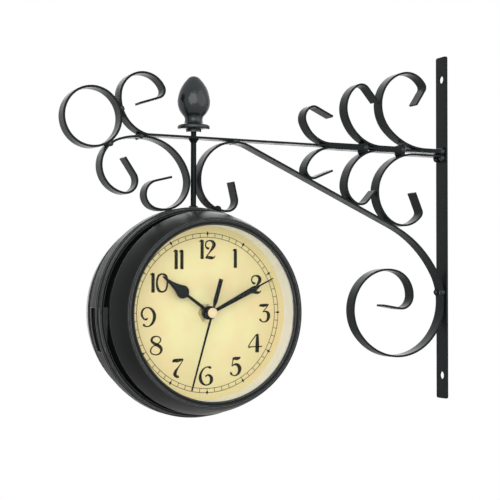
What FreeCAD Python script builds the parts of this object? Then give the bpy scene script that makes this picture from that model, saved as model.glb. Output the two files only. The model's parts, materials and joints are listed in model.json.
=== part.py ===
"""Double-sided station clock on a scrolled strip-iron wall bracket, in millimetres.

The origin is the centre of the wall plate's back face. The wall is the plane X = 0, the arm
reaches out along -X, the two dials face -Y (front) and +Y (rear), and +Z is up.
"""
import FreeCAD, Part
import cmath
import math
import os
from collections import namedtuple

import Sketcher
from FreeCAD import Placement, Rotation, Vector

# Driving lengths, all in millimetres
SIZES = {
    # wall plate
    "plate_height": 240.0,
    "plate_width": 12.0,
    "plate_thickness": 1.5,
    "plate_corner": 1.5,
    "hole_margin": 16.0,
    "wall_hole_d": 5.5,
    # flat strip that every scroll is bent from
    "strip_width": 9.0,
    "strip_thickness": 1.4,
    "weld_gap": 0.15,
    # arm and its upturned end
    "arm_from_top": 67.8,
    "arm_curl_start": 32.3,
    "arm_curl_radius": 22.8,
    # ring at the free end
    "ring_radius": 19.0,
    # double scroll under the arm's end
    "double_weld_offset": 37.0,
    "double_weld_length": 3.0,
    "double_left_radius": 17.1,
    # long brace
    "brace_bend_radius": 25.8,
    "brace_curl_radius": 37.7,
    # leaves on the arm: the reach of the curl nearest the wall, radii, and the gaps between curls
    "upper_leaf_1_radius": 20.6,
    "upper_leaf_2_radius": 28.2,
    "upper_leaf_3_radius": 41.3,
    "upper_leaf_3_reach": 17.5,
    "upper_leaf_gap_1": 10.0,
    "upper_leaf_gap_2": 1.4,
    "lower_leaf_3_reach": 26.6,
    "lower_leaf_3_gap": 1.2,
    "lower_leaf_gap_1": 11.0,
    "lower_leaf_gap_2": 0.5,
    "lower_leaf_rest": 0.8,
    "leaf_weld_1": 66.0,
    "leaf_weld_2": 36.0,
    "bead_radius": 1.7,
    "wall_weld_rise": 6.0,
    # hanger rod and finial
    "rod_radius": 1.8,
    "rod_clearance": 0.3,
    "rod_collar_radius": 2.9,
    "rod_collar_height": 1.4,
    "stud_radius": 1.5,
    "stud_length": 8.5,
    "thread_gap": 0.05,
    "finial_radius": 10.6,
    "finial_height": 36.0,
    "finial_lift": 2.8,
    "finial_socket": 12.0,
    "nut_flats": 5.5,
    "nut_thickness": 2.4,
    "nut_seat_gap": 0.2,
    # foot screw that holds the brace to the case
    "screw_radius": 1.2,
    "screw_head_radius": 2.4,
    "screw_head_height": 2.2,
    "screw_length": 7.0,
    "screw_seat_gap": 0.2,
    # case band, the middle ring of the drum
    "clock_reach": 191.8,
    "drum_drop": 44.3,
    "band_radius": 66.3,
    "band_step": 1.0,
    "band_rib_half": 3.4,
    "band_half": 9.9,
    "band_wall": 2.0,
    "web_half": 3.0,
    "web_depth": 6.1,
    "edge_break": 0.5,
    "boss_half": 4.6,
    "boss_width": 12.0,
    "boss_depth": 4.4,
    "window_height": 27.0,
    "window_rise": 3.0,
    "window_rear": 7.4,
    "window_front": 3.2,
    "window_slit_at": 7.6,
    "window_slit": 0.7,
    "window_floor": 1.3,
    # face unit: the cup that holds lens, dial and movement
    "mid_gap": 4.6,
    "rim_width": 4.6,
    "shoulder_flare": 4.8,
    "lip_from_front": 17.9,
    "shoulder_bulge": 0.4,
    "shell_wall": 1.7,
    "neck_gap": 0.1,
    "neck_wall": 1.8,
    "neck_end": 1.0,
    "recess_from_front": 8.0,
    "recess_top": 0.8,
    "opening_step": 3.5,
    "bezel_width": 3.0,
    "bezel_gap": 0.1,
    "bezel_sink": 0.3,
    "lens_thickness": 1.5,
    "lens_depth": 2.1,
    "lens_gap": 0.1,
    "ring_wall": 1.7,
    "seat_gap": 0.1,
    "dial_thickness": 0.8,
    "ledge_width": 3.4,
    "ledge_thickness": 1.6,
    # quartz movement
    "bay_wall": 1.95,
    "movement_corner": 4.0,
    "bay_roof_gap": 0.3,
    "cover_thickness": 1.6,
    "washer_radius": 9.0,
    "washer_thickness": 1.0,
    "bush_radius": 4.0,
    "bush_proud": 0.6,
    "bush_gap": 0.1,
    "fixing_nut_flats": 11.0,
    "fixing_nut_thickness": 2.0,
    "cell_radius": 7.1,
    "cell_length": 49.3,
    "cell_nub_radius": 2.7,
    "cell_nub_length": 1.0,
    "bay_gap": 0.4,
    "cell_proud": 1.0,
    "bay_offset": 17.5,
    "contact_thickness": 0.5,
    "contact_width": 9.0,
    "contact_height": 10.0,
    # hands and their shafts
    "run_gap": 0.05,
    "hour_tube_radius": 2.6,
    "minute_tube_radius": 1.75,
    "second_pin_radius": 0.9,
    "shaft_start": 9.0,
    "hand_gap": 1.0,
    "lens_clearance": 2.7,
    "hand_thickness": 0.8,
    "second_thickness": 0.6,
    "hour_boss_radius": 4.2,
    "hour_disc_radius": 4.1,
    "minute_boss_radius": 3.7,
    "minute_blade_width": 3.6,
    "second_tail_width": 2.7,
    "second_boss_radius": 2.2,
    "cap_radius": 3.1,
    "cap_height": 1.4,
    # setting knob on the back of the movement
    "knob_radius": 6.0,
    "knob_height": 2.4,
    "knob_gap": 0.3,
    "knob_offset": 9.0,
    "knob_shaft_radius": 1.5,
    "knob_shaft_length": 7.0,
    # flat at the pole of each turned dome
    "pole_flat": 0.4,
    # one overrun for every cut
    "overrun": 1.0,
}

# Bends of each scroll: arc radii as shares of the scroll's own radius, and the turn of each arc in degrees
Curl = namedtuple("Curl", "radius_shares turns tail_share")
ARM_CURL = Curl((0.294, 1, 0.667, 0.215), (15, 83, 143.5, 100), 0.6)
DOUBLE_LEFT_CURL = Curl((2.26, 1, 0.456), (20.5, 150.5, 133), 0.708)
DOUBLE_RIGHT_CURL = Curl((1.77, 1, 0.5), (71, 126, 149), 0.62)
BRACE_FOOT_CURL = Curl((1, 0.747, 0.278), (100.5, 81.5, 101.5), 0.437)
BRACE_WALL_CURL = Curl((2.06, 1, 0.732, 0.459, 0.236), (36.4, 173, 141, 76.5, 98), 0.36)
UPPER_LEAF_CURLS = (
    Curl((1, 0.393, 0.252), (69.5, 86.5, 48), 0.65),
    Curl((1, 0.651, 0.232), (70, 79, 79.5), 0.41),
    Curl((1, 0.571, 0.392, 0.094), (45.5, 124, 65.5, 68), 0.3),
)
LOWER_LEAF_CURLS = (
    Curl((1, 0.278, 0.188), (67.5, 99, 36), 0.68),
    Curl((1, 0.505, 0.273), (81.5, 77, 69.5), 0.37),
    Curl((1, 0.764, 0.605, 0.126), (57.5, 82.5, 90.5, 63), 0.43),
)
BRACE_SLOPE = 24.0

# Finial profile: radii as shares of its widest radius, heights as shares of its height
FINIAL_BOSS_SHARES = (0.47, 0.035)
FINIAL_FLANGE_SHARES = (0.93, 0.05, 0.0875, 0.125)
FINIAL_NECK_SHARES = (0.543, 0.2226)
FINIAL_CUP_SHARES = (0.6415, 0.2925)
FINIAL_SWELL_SHARES = (0.9375, 0.4335)
FINIAL_BUD_SHARES = (0.987, 0.5986)
FINIAL_TAPER_SHARES = (0.7836, 0.7914)
FINIAL_SHOULDER_SHARES = (0.386, 0.955)
FINIAL_POINT_SHARES = (0.226, 0.987)
DOME_SHARE = 0.72

# Hands: lengths as shares of the glazed opening, outlines as shares of each hand's own width and length
HOUR_LENGTH_SHARE = 0.7164
HOUR_DISC_SHARE = 0.58
HOUR_STEM_SHARES = (0.24, 0.2)
HOUR_SPEAR_ROOT_SHARES = (0.93, 0.09)
HOUR_SPEAR_CURVE_SHARES = (0.52, 0.34)
HOUR_SPEAR_NECK_SHARES = (0.28, 0.6)
HOUR_SPEAR_TIP_SHARE = 0.08
MINUTE_LENGTH_SHARE = 0.8918
MINUTE_BLADE_SHARES = (0.5, 0.7, 0.745, 0.775)
MINUTE_NEEDLE_SHARES = (0.6, 0.28, 0.16)
SECOND_LENGTH_SHARE = 0.9142
SECOND_TAIL_SHARE = 0.403
SECOND_NEEDLE_SHARES = (0.5, 0.32)
SECOND_WAIST_SHARES = (0.55, 0.22)
SECOND_TAIL_SHARES = (0.34, 0.94)
CAP_DOME_SHARES = (0.4, 0.66, 0.86)

# Weld beads: their length as a share of the strip's width, the rod's fillet, and the smallest crumb kept
BEAD_LENGTH_SHARE = 0.9
FILLET_SHARE = 1.5
CRUMB_SHARE = 0.25

# The time shown: each hand's angle clockwise from twelve, in degrees
HOUR_ANGLE = 305.3
MINUTE_ANGLE = 63.3
SECOND_ANGLE = 196.0

SETTLE_STEPS = 32
HEX_SIDES = 6
KNOB_GRIPS = 12
KNOB_GRIP_SHARE = 0.12


class Size:
    """A length that knows its number and the sheet formula that gives it."""

    def __init__(self, value, text):
        self.value = value
        self.text = text

    def __add__(self, other):
        return Size(self.value + other.value, f"({self.text} + {other.text})")

    def __sub__(self, other):
        return Size(self.value - other.value, f"({self.text} - {other.text})")

    def __mul__(self, share):
        return Size(self.value * share, f"({self.text} * {share})")

    def __truediv__(self, count):
        return Size(self.value / count, f"({self.text} / {count})")

    def __neg__(self):
        return Size(-self.value, f"(0 - {self.text})")


ZERO = Size(0, "0")


class Sheet:
    """The document's spreadsheet, with every driving length as an attribute."""

    def __init__(self, document):
        sheet = document.addObject("Spreadsheet::Sheet", "sizes")
        for row, (name, number) in enumerate(SIZES.items(), start=1):
            sheet.set(f"A{row}", name)
            sheet.set(f"B{row}", str(number))
            sheet.setAlias(f"B{row}", name)
            setattr(self, name, Size(number, f"sizes.{name}"))


doc = FreeCAD.newDocument("station_clock")
s = Sheet(doc)
doc.recompute()
nodes = {}

# Places that several pieces share
arm_height = s.plate_height / 2 - s.arm_from_top
clock_x = -s.clock_reach
clock_z = arm_height - s.drum_drop - s.band_radius
half_strip = s.strip_thickness / 2
plate_front = -s.plate_thickness

# Radii of the drum, worked inwards from the band
band_side = s.band_radius - s.band_step
band_bore = band_side - s.band_wall
web_bore = band_bore - s.web_depth
neck_radius = web_bore - s.neck_gap
opening_radius = neck_radius - s.opening_step
rim_radius = opening_radius + s.rim_width
lip_radius = rim_radius + s.shoulder_flare
bezel_radius = opening_radius + s.bezel_width
ring_radius = opening_radius + s.ring_wall
seat_radius = ring_radius + s.seat_gap

# Heights in a face unit, worked outwards from the middle of the case
bay_length = s.cell_length + s.cell_nub_length + (s.contact_thickness + s.bay_gap) * 2
movement_size = bay_length + s.bay_wall * 2
bay_depth = s.cell_radius * 2 - s.cell_proud + s.bay_roof_gap
movement_back = s.mid_gap
movement_seam = movement_back + bay_depth + s.edge_break
movement_front = movement_seam + s.cover_thickness
dial_back = movement_front + s.washer_thickness
dial_front = dial_back + s.dial_thickness
bush_top = dial_front + s.fixing_nut_thickness + s.bush_proud
hour_level = bush_top + s.hand_gap
minute_level = hour_level + s.hand_thickness + s.hand_gap
second_level = minute_level + s.hand_thickness + s.hand_gap
cap_seat = second_level + s.second_thickness
lens_low = cap_seat + s.cap_height + s.lens_clearance
lens_top = lens_low + s.lens_thickness
half_depth = lens_top + s.lens_depth
shaft_foot = movement_front - s.shaft_start


# Sketch and feature helpers

def bind(thing, property_name, size):
    """Tie one property of a document object to the sheet."""
    thing.setExpression(property_name, size.text)


def new_body(label, placement=None):
    body = doc.addObject("PartDesign::Body", label)
    body.Label = label
    if placement is not None:
        body.Placement = placement
    nodes[label] = body
    return body


def new_sketch(body, role, name):
    sketch = body.newObject("Sketcher::SketchObject", name)
    plane = next(item for item in body.Origin.OriginFeatures if item.Role == role)
    sketch.AttachmentSupport = (plane, "")
    sketch.MapMode = "FlatFace"
    return sketch


def hold_point(sketch, geometry, position, x, y):
    """Fix a sketch point by sheet formulas for its two coordinates."""
    for kind, size, axis in (("DistanceX", x, -2), ("DistanceY", y, -1)):
        if size.value == 0:
            sketch.addConstraint(Sketcher.Constraint("PointOnObject", geometry, position, axis))
        else:
            number = sketch.addConstraint(
                Sketcher.Constraint(kind, -1, 1, geometry, position, size.value))
            sketch.setExpression(f"Constraints[{number}]", size.text)


def draw_outline(sketch, outline):
    """Draw a closed outline of straight lines through held corners.

    A corner is (x, y); (x, y, mid_x, mid_y) reaches its corner by an arc through the middle point.
    """
    ends = []
    for before, corner in zip(outline[-1:] + outline[:-1], outline):
        start = Vector(before[0].value, before[1].value, 0)
        end = Vector(corner[0].value, corner[1].value, 0)
        if len(corner) == 2:
            geometry = sketch.addGeometry(Part.LineSegment(start, end))
        else:
            middle = Vector(corner[2].value, corner[3].value, 0)
            geometry = sketch.addGeometry(Part.Arc(start, middle, end))
        flipped = sketch.getPoint(geometry, 1).distanceToPoint(end) < sketch.getPoint(
            geometry, 1).distanceToPoint(start)
        ends.append((geometry, 2 if flipped else 1, 1 if flipped else 2))
    for (this, start, _), (other, _, end), before in zip(
            ends, ends[-1:] + ends[:-1], outline[-1:] + outline[:-1]):
        sketch.addConstraint(Sketcher.Constraint("Coincident", other, end, this, start))
        hold_point(sketch, this, start, before[0], before[1])


def draw_circle(sketch, x, y, radius):
    circle = sketch.addGeometry(
        Part.Circle(Vector(x.value, y.value, 0), Vector(0, 0, 1), radius.value))
    hold_point(sketch, circle, 3, x, y)
    number = sketch.addConstraint(Sketcher.Constraint("Radius", circle, radius.value))
    sketch.setExpression(f"Constraints[{number}]", radius.text)


def rounded_square(centre_x, centre_y, width, height, corner):
    """Corners of a rounded rectangle, with an arc at each corner."""
    bulge = corner * (1 - math.sqrt(0.5))
    left, right = centre_x - width / 2, centre_x + width / 2
    low, high = centre_y - height / 2, centre_y + height / 2
    return [
        (right - corner, low),
        (right, low + corner, right - bulge, low + bulge), (right, high - corner),
        (right - corner, high, right - bulge, high - bulge), (left + corner, high),
        (left, high - corner, left + bulge, high - bulge), (left, low + corner),
        (left + corner, low, left + bulge, low + bulge),
    ]


def hexagon(flats):
    """Corners of a hexagon by its size across flats."""
    reach = flats / math.sqrt(3)
    corners = []
    for corner in range(HEX_SIDES):
        angle = math.tau * corner / HEX_SIDES
        corners.append((reach * math.cos(angle), reach * math.sin(angle)))
    return [(x if abs(x.value) > 1e-9 else ZERO, y if abs(y.value) > 1e-9 else ZERO)
            for x, y in corners]


def prism(body, name, outline, length, base=ZERO, role="XY_Plane"):
    """Pad an outline from a base height; a circle is given as (x, y, radius)."""
    sketch = new_sketch(body, role, f"{name}_sketch")
    if isinstance(outline, tuple):
        draw_circle(sketch, *outline)
    else:
        draw_outline(sketch, outline)
    if base is not ZERO:
        sketch.AttachmentOffset = Placement(Vector(0, 0, base.value), Rotation())
        bind(sketch, "AttachmentOffset.Base.z", base)
    pad = body.newObject("PartDesign::Pad", name)
    pad.Profile = sketch
    pad.Length = length.value
    bind(pad, "Length", length)
    doc.recompute()
    return pad


def recess(body, name, outline, depth, top, role="XY_Plane"):
    """Cut an outline down from a top height; fail if nothing is removed."""
    volume = body.Shape.Volume
    sketch = new_sketch(body, role, f"{name}_sketch")
    if isinstance(outline, tuple):
        draw_circle(sketch, *outline)
    else:
        draw_outline(sketch, outline)
    sketch.AttachmentOffset = Placement(Vector(0, 0, top.value), Rotation())
    bind(sketch, "AttachmentOffset.Base.z", top)
    pocket = body.newObject("PartDesign::Pocket", name)
    pocket.Profile = sketch
    pocket.Length = depth.value
    bind(pocket, "Length", depth)
    doc.recompute()
    if body.Shape.Volume >= volume:
        raise RuntimeError(f"{body.Label}: {name} cut nothing")
    return pocket


def turned(label, outline, placement=None):
    """Revolve an outline of (radius, height) corners about the body's own Z axis."""
    body = new_body(label, placement)
    sketch = new_sketch(body, "XZ_Plane", f"{label}_profile")
    draw_outline(sketch, outline)
    turn = body.newObject("PartDesign::Revolution", f"{label}_turn")
    turn.Profile = sketch
    turn.ReferenceAxis = (sketch, ["V_Axis"])
    doc.recompute()
    return body


# Paths of bent strip, in the plane of the bracket: x along the arm and z up, as one complex number

Leg = namedtuple("Leg", "start end centre turn")


def straight(start, heading, length):
    return Leg(start, start + cmath.rect(length, heading), None, 0)


def bend(start, heading, radius, degrees):
    """A tangent arc; a positive turn is to the left of the way it runs."""
    turn = math.radians(degrees)
    centre = start + math.copysign(radius, turn) * 1j * cmath.rect(1, heading)
    return Leg(start, centre + (start - centre) * cmath.rect(1, turn), centre, turn)


def curl_legs(curl, radius, start, heading, side):
    """Tangent arcs of one scroll and its straight tail; side is 1 to turn left, -1 to turn right."""
    legs = []
    for share, turn in zip(curl.radius_shares, curl.turns):
        legs.append(bend(start, heading, radius * share, side * turn))
        heading += legs[-1].turn
        start = legs[-1].end
    legs.append(straight(start, heading, radius * curl.tail_share))
    return legs


def reversed_legs(legs):
    return [Leg(leg.end, leg.start, leg.centre, -leg.turn) for leg in reversed(legs)]


def shifted(leg, distance):
    """The same leg moved sideways, to the left of the way it runs."""
    if leg.centre is None:
        way = (leg.end - leg.start) / abs(leg.end - leg.start)
        return Leg(leg.start + distance * 1j * way, leg.end + distance * 1j * way, None, 0)
    radius = abs(leg.start - leg.centre)
    scale = (radius - math.copysign(1, leg.turn) * distance) / radius
    return Leg(leg.centre + (leg.start - leg.centre) * scale,
               leg.centre + (leg.end - leg.centre) * scale, leg.centre, leg.turn)


def points_along(legs, steps=48):
    points = []
    for leg in legs:
        for step in range(steps + 1):
            part = step / steps
            if leg.centre is None:
                points.append(leg.start + (leg.end - leg.start) * part)
            else:
                points.append(leg.centre + (leg.start - leg.centre) * cmath.rect(1, leg.turn * part))
    return points


def leg_curve(leg):
    """One leg as a line or an arc of a sketch."""
    if leg.centre is None:
        return Part.LineSegment(Vector(leg.start.real, leg.start.imag, 0),
                                Vector(leg.end.real, leg.end.imag, 0))
    first = cmath.phase(leg.start - leg.centre)
    last = first + leg.turn
    circle = Part.Circle(Vector(leg.centre.real, leg.centre.imag, 0), Vector(0, 0, 1),
                         abs(leg.start - leg.centre))
    return Part.ArcOfCircle(circle, min(first, last), max(first, last))


def strip(label, legs):
    """A flat strip bent along a path, its width across the bracket's plane."""
    left = [shifted(leg, half_strip.value) for leg in legs]
    right = reversed_legs([shifted(leg, -half_strip.value) for leg in legs])
    outline = left + [Leg(left[-1].end, right[0].start, None, 0)]
    outline += right + [Leg(right[-1].end, left[0].start, None, 0)]
    body = new_body(label)
    sketch = new_sketch(body, "XZ_Plane", f"{label}_path")
    for leg in outline:
        sketch.addGeometry(leg_curve(leg))
    pad = body.newObject("PartDesign::Pad", f"{label}_strip")
    pad.Profile = sketch
    pad.SideType = "Symmetric"
    pad.Length = s.strip_width.value
    bind(pad, "Length", s.strip_width)
    doc.recompute()
    return body


def settle(gap_at, loose, tight, gap):
    """The size between a loose one and a tight one at which the clear distance comes down to a gap."""
    for _ in range(SETTLE_STEPS):
        middle = (loose + tight) / 2
        if gap_at(middle) > gap.value:
            loose = middle
        else:
            tight = middle
    return (loose + tight) / 2


def distance_to(leg, point):
    """Shortest distance from a point to a line or an arc."""
    to_ends = min(abs(point - leg.start), abs(point - leg.end))
    if leg.centre is None:
        length = abs(leg.end - leg.start)
        offset = (point - leg.start) * length / (leg.end - leg.start)
        return abs(offset.imag) if 0 < offset.real < length else to_ends
    spoke = leg.start - leg.centre
    swept = math.copysign(1, leg.turn) * cmath.phase((point - leg.centre) / spoke) % math.tau
    return abs(abs(point - leg.centre) - abs(spoke)) if swept < abs(leg.turn) else to_ends


def gap_between(first, second):
    """Clear distance between two bent strips."""
    nearest = min(distance_to(leg, point) for point in points_along(first) for leg in second)
    return nearest - s.strip_thickness.value



# Bracket: strip paths

arm_level = arm_height.value
left, right = math.pi, 0.0
under_arm = arm_level - s.strip_thickness.value - s.weld_gap.value
drum = complex(clock_x.value, clock_z.value)
drum_reach = s.band_radius.value + half_strip.value


def gap_to_drum(legs):
    return min(abs(point - drum) for point in points_along(legs)) - drum_reach


arm_end = complex(clock_x.value - s.arm_curl_start.value, arm_level)
arm_start = complex(plate_front.value, arm_level)
arm_curl = curl_legs(ARM_CURL, s.arm_curl_radius.value, arm_end, left, -1)
arm_legs = [Leg(arm_start, arm_end, None, 0)] + arm_curl

# Double scroll: its right-hand curl is sized so that it stands on the drum
weld_middle = complex(clock_x.value - s.double_weld_offset.value, under_arm)
weld_right = weld_middle + s.double_weld_length.value / 2
weld_left = weld_middle - s.double_weld_length.value / 2


def double_right(radius):
    return curl_legs(DOUBLE_RIGHT_CURL, radius, weld_right, right, -1)


drop = under_arm - clock_z.value - s.band_radius.value
double_radius = settle(lambda radius: gap_to_drum(double_right(radius)), drop / 8, drop, s.weld_gap)
double_left = curl_legs(DOUBLE_LEFT_CURL, s.double_left_radius.value, weld_left, left, 1)
double_legs = reversed_legs(double_left) + [Leg(weld_left, weld_right, None, 0)]
double_legs += double_right(double_radius)

# Brace: its foot curl passes beside the rod and stands on the drum, its long run ends at the wall plate
rod_side = clock_x.value + s.rod_radius.value + s.rod_clearance.value + half_strip.value


def brace_foot(radius):
    return curl_legs(BRACE_FOOT_CURL, radius, complex(rod_side + radius, under_arm), left, 1)


foot_radius = settle(lambda radius: gap_to_drum(brace_foot(radius)), drop / 4, drop, s.weld_gap)
foot_legs = brace_foot(foot_radius)
brace_top = foot_legs[0].start
brace_bend = bend(brace_top, right, s.brace_bend_radius.value, -BRACE_SLOPE)
slope = -math.radians(BRACE_SLOPE)
wall_curl_size = s.brace_curl_radius.value
wall_curl = curl_legs(BRACE_WALL_CURL, wall_curl_size, 0j, slope, -1)
curl_reach = max(point.real for point in points_along(wall_curl, 400))
wall_line = plate_front.value - s.weld_gap.value - half_strip.value
run_length = (wall_line - curl_reach - brace_bend.end.real) / math.cos(slope)
brace_run = straight(brace_bend.end, slope, run_length)
wall_curl = curl_legs(BRACE_WALL_CURL, wall_curl_size, brace_run.end, slope, -1)
brace_legs = reversed_legs(foot_legs) + [brace_bend, brace_run] + wall_curl


# Leaves: straight along the arm, then a curl; each keeps a gap to the next one nearer the wall

def leaf_legs(number, curls, radius, reach, level, side):
    start = complex(-reach, level)
    lead = Leg(complex(leaf_roots[number], level), start, None, 0)
    return [lead] + curl_legs(curls[number], radius, start, left, side)


def spaced_leaf(legs_at, next_leaf, gap):
    """The leaf whose curl stands a gap away from the next one's curl."""
    next_reach = -next_leaf[1].start.real
    reach = settle(lambda reach: gap_between(legs_at(reach)[1:], next_leaf[1:]),
                   next_reach + s.plate_height.value / 2, next_reach, gap)
    return legs_at(reach)


def upper_leaf(number, radius, reach):
    return leaf_legs(number, UPPER_LEAF_CURLS, radius.value, reach, upper_level, -1)


def lower_leaf(number, reach, level, gap):
    """A leaf under the arm whose curl comes down to the brace."""
    def legs_at(radius):
        return leaf_legs(number, LOWER_LEAF_CURLS, radius, reach, level, 1)

    radius = settle(lambda radius: gap_between(legs_at(radius)[1:], brace_side),
                    s.strip_width.value / 2, s.plate_height.value / 4, gap)
    return legs_at(radius)


leaf_roots = (-s.leaf_weld_1.value, -s.leaf_weld_2.value, plate_front.value)
upper_level = arm_level + s.strip_thickness.value
lower_level = arm_level - s.strip_thickness.value
hung_level = lower_level - s.lower_leaf_3_gap.value
brace_side = [brace_run] + wall_curl[:2]

upper_3 = upper_leaf(2, s.upper_leaf_3_radius, s.upper_leaf_3_reach.value)
upper_2 = spaced_leaf(lambda reach: upper_leaf(1, s.upper_leaf_2_radius, reach),
                      upper_3, s.upper_leaf_gap_2)
upper_1 = spaced_leaf(lambda reach: upper_leaf(0, s.upper_leaf_1_radius, reach),
                      upper_2, s.upper_leaf_gap_1)
lower_3 = lower_leaf(2, s.lower_leaf_3_reach.value, hung_level, s.lower_leaf_rest)
lower_2 = spaced_leaf(lambda reach: lower_leaf(1, reach, lower_level, s.weld_gap),
                      lower_3, s.lower_leaf_gap_2)
lower_1 = spaced_leaf(lambda reach: lower_leaf(0, reach, lower_level, s.weld_gap),
                      lower_2, s.lower_leaf_gap_1)


# Ring: it touches the arm's curl and the double scroll's left curl

def touching_circle(first, second, radius):
    """Left-hand centre of a circle that stands a weld gap clear of two arcs."""
    spare = radius + half_strip.value + s.weld_gap.value
    reach_1 = abs(first.start - first.centre) + spare
    reach_2 = abs(second.start - second.centre) + spare
    between = second.centre - first.centre
    span = abs(between)
    along = (reach_1 ** 2 - reach_2 ** 2 + span ** 2) / (2 * span)
    across = math.sqrt(reach_1 ** 2 - along ** 2)
    unit = between / span
    return min((first.centre + unit * complex(along, side * across) for side in (1, -1)),
               key=lambda centre: centre.real)


ring_centre = touching_circle(arm_curl[1], double_left[1], s.ring_radius.value)


# Bracket: solids

def make_wall_plate():
    body = new_body("wall_plate")
    outline = rounded_square(ZERO, ZERO, s.plate_width, s.plate_height, s.plate_corner)
    prism(body, "plate_blank", outline, s.plate_thickness, -s.plate_thickness, "YZ_Plane")
    hole_height = s.plate_height / 2 - s.hole_margin
    for name, height in (("upper", hole_height), ("lower", -hole_height)):
        recess(body, f"{name}_wall_hole", (ZERO, height, s.wall_hole_d / 2),
               s.plate_thickness + s.overrun * 2, s.overrun, "YZ_Plane")


def drill_strip(label, name, x, radius):
    """Drill a strip's straight run from above, on the bracket's centre line."""
    recess(nodes[label], name, (x, ZERO, radius), s.strip_thickness + s.overrun * 2,
           arm_height + half_strip + s.overrun)


def make_ring():
    outer = s.ring_radius
    inner = outer - s.strip_thickness
    half = s.strip_width / 2
    turned("end_ring", [(inner, -half), (outer, -half), (outer, half), (inner, half)],
           Placement(Vector(ring_centre.real, 0, ring_centre.imag), Rotation(Vector(1, 0, 0), 90)))


make_wall_plate()
strip("arm_bar", arm_legs)
drill_strip("arm_bar", "rod_hole", clock_x, s.rod_radius + s.thread_gap)
make_ring()
strip("double_scroll", double_legs)
strip("brace_scroll", brace_legs)
for number, (above, below) in enumerate(
        ((upper_1, lower_1), (upper_2, lower_2), (upper_3, lower_3)), start=1):
    strip(f"upper_leaf_{number}", above)
    strip(f"lower_leaf_{number}", below)


# Hanger rod, finial and nut, turned about the vertical through the clock's centre

def upright(height=ZERO):
    return Placement(Vector(clock_x.value, 0, height.value), Rotation())


band_top = clock_z + s.band_radius
finial_base = arm_height + half_strip + s.finial_lift
rod_top = finial_base + s.finial_socket

turned("hanger_rod", [
    (ZERO, band_top - s.stud_length), (s.stud_radius, band_top - s.stud_length),
    (s.stud_radius, band_top), (s.rod_collar_radius, band_top),
    (s.rod_collar_radius, band_top + s.rod_collar_height / 2),
    (s.rod_radius, band_top + s.rod_collar_height), (s.rod_radius, rod_top), (ZERO, rod_top),
], upright())


def make_finial():
    wide, tall = s.finial_radius, s.finial_height
    bore = s.rod_radius + s.thread_gap

    def at(shares):
        return wide * shares[0], tall * shares[1]

    flange, flange_low, flange_middle, flange_high = FINIAL_FLANGE_SHARES
    turned("finial", [
        (ZERO, s.finial_socket), (bore, s.finial_socket), (bore, ZERO),
        (wide * FINIAL_BOSS_SHARES[0], ZERO), at(FINIAL_BOSS_SHARES), at((flange, flange_low)),
        at((flange, flange_high)) + at((1, flange_middle)),
        at(FINIAL_CUP_SHARES) + at(FINIAL_NECK_SHARES),
        at(FINIAL_BUD_SHARES) + at(FINIAL_SWELL_SHARES),
        at(FINIAL_SHOULDER_SHARES) + at(FINIAL_TAPER_SHARES),
        (s.pole_flat, tall) + at(FINIAL_POINT_SHARES), (ZERO, tall),
    ], upright(finial_base))


make_finial()


def nut_body(label, flats, thickness, bore, placement):
    body = new_body(label, placement)
    prism(body, f"{label}_hexagon", hexagon(flats), thickness)
    recess(body, f"{label}_bore", (ZERO, ZERO, bore),
           thickness + s.overrun * 2, thickness + s.overrun)
    return body


nut_top = band_top - s.boss_depth - s.nut_seat_gap
nut_body("hanger_nut", s.nut_flats, s.nut_thickness, s.stud_radius + s.thread_gap,
         upright(nut_top - s.nut_thickness))


# Foot screw: along the line from the drum's centre through the foot of the brace

foot_point = min(points_along(foot_legs, 400), key=lambda point: abs(point - drum))
foot_way = (foot_point - drum) / abs(foot_point - drum)
foot_angle = math.degrees(cmath.phase(foot_way))
foot_placement = Placement(Vector(clock_x.value, 0, clock_z.value),
                           Rotation(Vector(0, 1, 0), 90 - foot_angle))
foot_top = s.band_radius + s.weld_gap + s.strip_thickness + s.screw_seat_gap
screw_tip = foot_top - s.screw_length
screw_crown = foot_top + s.screw_head_height

turned("foot_screw", [
    (ZERO, screw_tip), (s.pole_flat, screw_tip), (s.screw_radius, screw_tip + s.screw_radius),
    (s.screw_radius, foot_top),
    (s.screw_head_radius, foot_top),
    (s.pole_flat, screw_crown,
     s.screw_head_radius * DOME_SHARE, foot_top + s.screw_head_height * DOME_SHARE),
    (ZERO, screw_crown),
], foot_placement)


def drill_along(label, placement, radius, low, high):
    """Cut a round hole through a finished body along a placed axis."""
    body = nodes[label]
    tool = doc.addObject("Part::Cylinder", f"{label}_drill")
    tool.Placement = placement.multiply(Placement(Vector(0, 0, low.value), Rotation()))
    bind(tool, "Radius", radius)
    bind(tool, "Height", high - low)
    cut = doc.addObject("Part::Cut", f"{label}_drilled")
    cut.Base = body
    cut.Tool = tool
    doc.recompute()
    if cut.Shape.Volume >= body.Shape.Volume:
        raise RuntimeError(f"{label}: the drill cut nothing")
    body.Label = f"{label}_blank"
    cut.Label = label
    nodes[label] = cut


# Case band: a T-section ring with a hanger boss and a pry window at its left side

front_placement = Placement(Vector(clock_x.value, 0, clock_z.value), Rotation(Vector(1, 0, 0), 90))
rear_placement = Placement(Vector(clock_x.value, 0, clock_z.value),
                           Rotation(Vector(0, 0, 1), 180).multiply(Rotation(Vector(1, 0, 0), 90)))


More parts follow.
